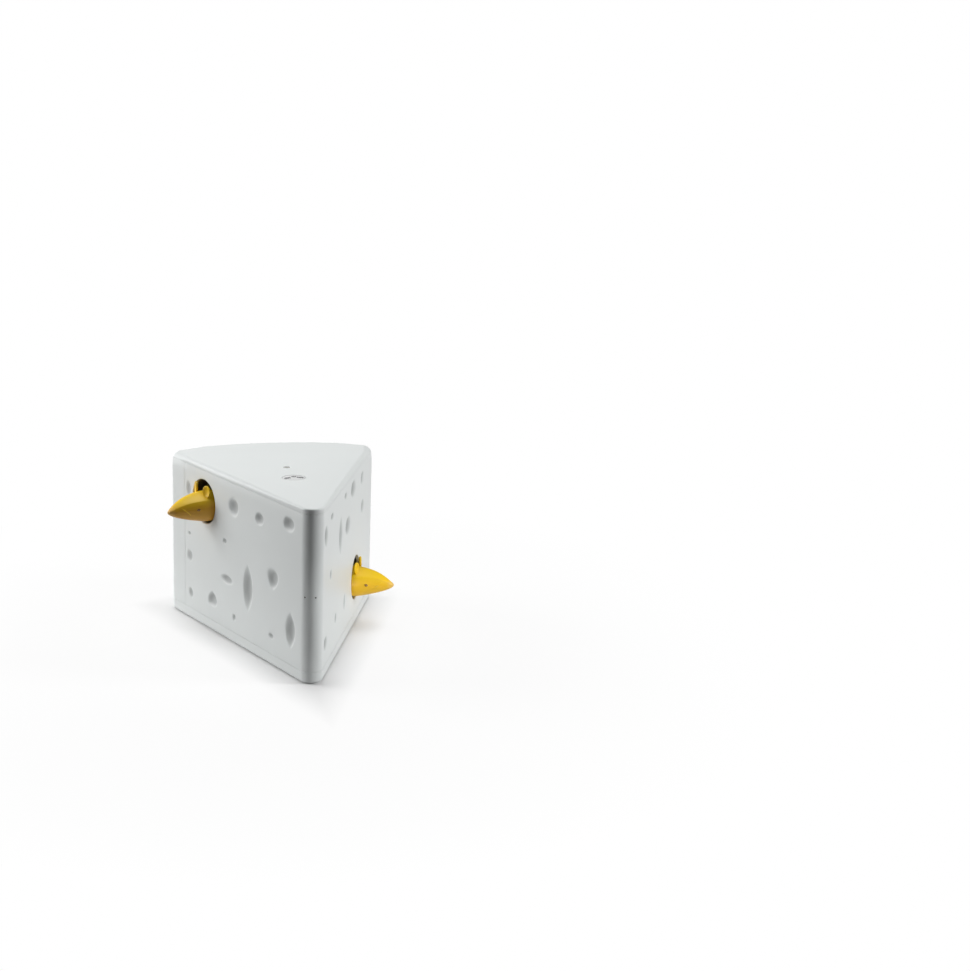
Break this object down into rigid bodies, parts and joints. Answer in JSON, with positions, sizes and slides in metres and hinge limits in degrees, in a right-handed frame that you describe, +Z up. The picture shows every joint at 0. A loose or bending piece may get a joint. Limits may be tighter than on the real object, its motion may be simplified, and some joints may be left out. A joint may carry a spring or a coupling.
{
  "type": "interactive cat toy box",
  "caption": "Cheese-wedge battery toy box for cats: two mice on rack drives dart in and out of round holes in its side faces.",
  "frame": {"origin": "on the floor plane under the feet, at the middle of the toy's bounding box in plan", "axes": "+Z up, -Y towards the wedge's nose, +Y towards its curved back, +X towards the face of the lower mouse"},
  "size_m": [0.203, 0.2356, 0.1529],
  "materials": {
    "shell_white": "glossy",
    "button_white": "glossy",
    "lens_dark": "glossy",
    "mouse_yellow": "satin",
    "grey_plastic": "moulded",
    "black_plastic": "moulded",
    "gear_nylon": "moulded",
    "rubber_black": "matte",
    "screw_steel": "plated",
    "axle_steel": "ground",
    "motor_steel": "plated",
    "board_green": "laminate",
    "diode_amber": "clear",
    "cell_wrap": "printed sleeve",
    "contact_steel": "nickel plated",
    "brass": "machined"
  },
  "bodies": {
    "housing": {"base_tray": "shell_white", "front_shell": "shell_white", "rear_shell": "shell_white", "top_cover": "shell_white", "rubber_feet": "rubber_black", "housing_screws": "screw_steel", "battery_cells": "cell_wrap", "battery_contacts": "contact_steel", "control_board": "board_green", "button_switch": "black_plastic", "lamp_diode": "diode_amber", "lamp_lens": "lens_dark", "board_screws": "screw_steel", "drive_tower": "grey_plastic", "tower_screws": "screw_steel", "upper_motor": "motor_steel", "upper_drive_frame": "black_plastic", "upper_gear_roof": "black_plastic", "upper_axles": "axle_steel", "upper_drive_screws": "screw_steel", "lower_motor": "motor_steel", "lower_drive_frame": "black_plastic", "lower_gear_roof": "black_plastic", "lower_axles": "axle_steel", "lower_drive_screws": "screw_steel"},
    "door": {"battery_door": "shell_white", "door_screw": "screw_steel"},
    "button": {"power_button": "button_white", "switch_plunger": "black_plastic"},
    "upper_mouse_body": {"upper_mouse": "mouse_yellow", "upper_carriage": "gear_nylon", "upper_mouse_screw": "screw_steel"},
    "upper_rack_gear_body": {"upper_rack_gear": "gear_nylon"},
    "upper_idler_gear_body": {"upper_idler_gear": "gear_nylon"},
    "upper_motor_shaft": {"upper_motor_pinion": "brass"},
    "lower_mouse_body": {"lower_mouse": "mouse_yellow", "lower_carriage": "gear_nylon", "lower_mouse_screw": "screw_steel"},
    "lower_rack_gear_body": {"lower_rack_gear": "gear_nylon"},
    "lower_idler_gear_body": {"lower_idler_gear": "gear_nylon"},
    "lower_motor_shaft": {"lower_motor_pinion": "brass"}
  },
  "joints": [
    {"name": "upper_mouse_slide", "type": "slide", "parent": "housing", "child": "upper_mouse_body", "axis": [-0.9239, -0.3827, 0], "range_m": [-0.04, 0]},
    {"name": "upper_rack_gear_spin", "type": "hinge", "parent": "housing", "child": "upper_rack_gear_body", "pos_m": [0.02059, 0.06172, 0.1182], "axis": [0, 0, 1], "range_deg": [-288, 0]},
    {"name": "upper_idler_gear_spin", "type": "hinge", "parent": "housing", "child": "upper_idler_gear_body", "pos_m": [0.03198, 0.04728, 0.1182], "axis": [0, 0, 1], "range_deg": [0, 1033]},
    {"name": "upper_motor_spin", "type": "hinge", "parent": "housing", "child": "upper_motor_shaft", "pos_m": [0.02434, 0.03437, 0.1182], "axis": [0, 0, 1], "range_deg": [-4127, 0]},
    {"name": "lower_mouse_slide", "type": "slide", "parent": "housing", "child": "lower_mouse_body", "axis": [0.9239, -0.3827, 0], "range_m": [-0.04, 0]},
    {"name": "lower_rack_gear_spin", "type": "hinge", "parent": "housing", "child": "lower_rack_gear_body", "pos_m": [-0.0114, 0.06819, 0.0453], "axis": [0, 0, 1], "range_deg": [-288, 0]},
    {"name": "lower_idler_gear_spin", "type": "hinge", "parent": "housing", "child": "lower_idler_gear_body", "pos_m": [-0.00924, 0.08646, 0.0453], "axis": [0, 0, 1], "range_deg": [0, 1033]},
    {"name": "lower_motor_spin", "type": "hinge", "parent": "housing", "child": "lower_motor_shaft", "pos_m": [0.00529, 0.09019, 0.0453], "axis": [0, 0, 1], "range_deg": [-4127, 0]},
    {"name": "button_press", "type": "slide", "parent": "housing", "child": "button", "axis": [0, 0, -1], "range_m": [0, 0.0012], "stiffness_N_per_m": 900, "springref_m": -0.0008},
    {"name": "door_lift_off", "type": "slide", "parent": "housing", "child": "door", "axis": [0, 0, -1], "range_m": [0, 0.03]}
  ],
  "couplings": [
    {"joint": "upper_rack_gear_spin", "follows": "upper_mouse_slide", "rad_per_m": 125},
    {"joint": "upper_idler_gear_spin", "follows": "upper_mouse_slide", "rad_per_m": -450},
    {"joint": "upper_motor_spin", "follows": "upper_mouse_slide", "rad_per_m": 1800},
    {"joint": "lower_rack_gear_spin", "follows": "lower_mouse_slide", "rad_per_m": 125},
    {"joint": "lower_idler_gear_spin", "follows": "lower_mouse_slide", "rad_per_m": -450},
    {"joint": "lower_motor_spin", "follows": "lower_mouse_slide", "rad_per_m": 1800}
  ]
}
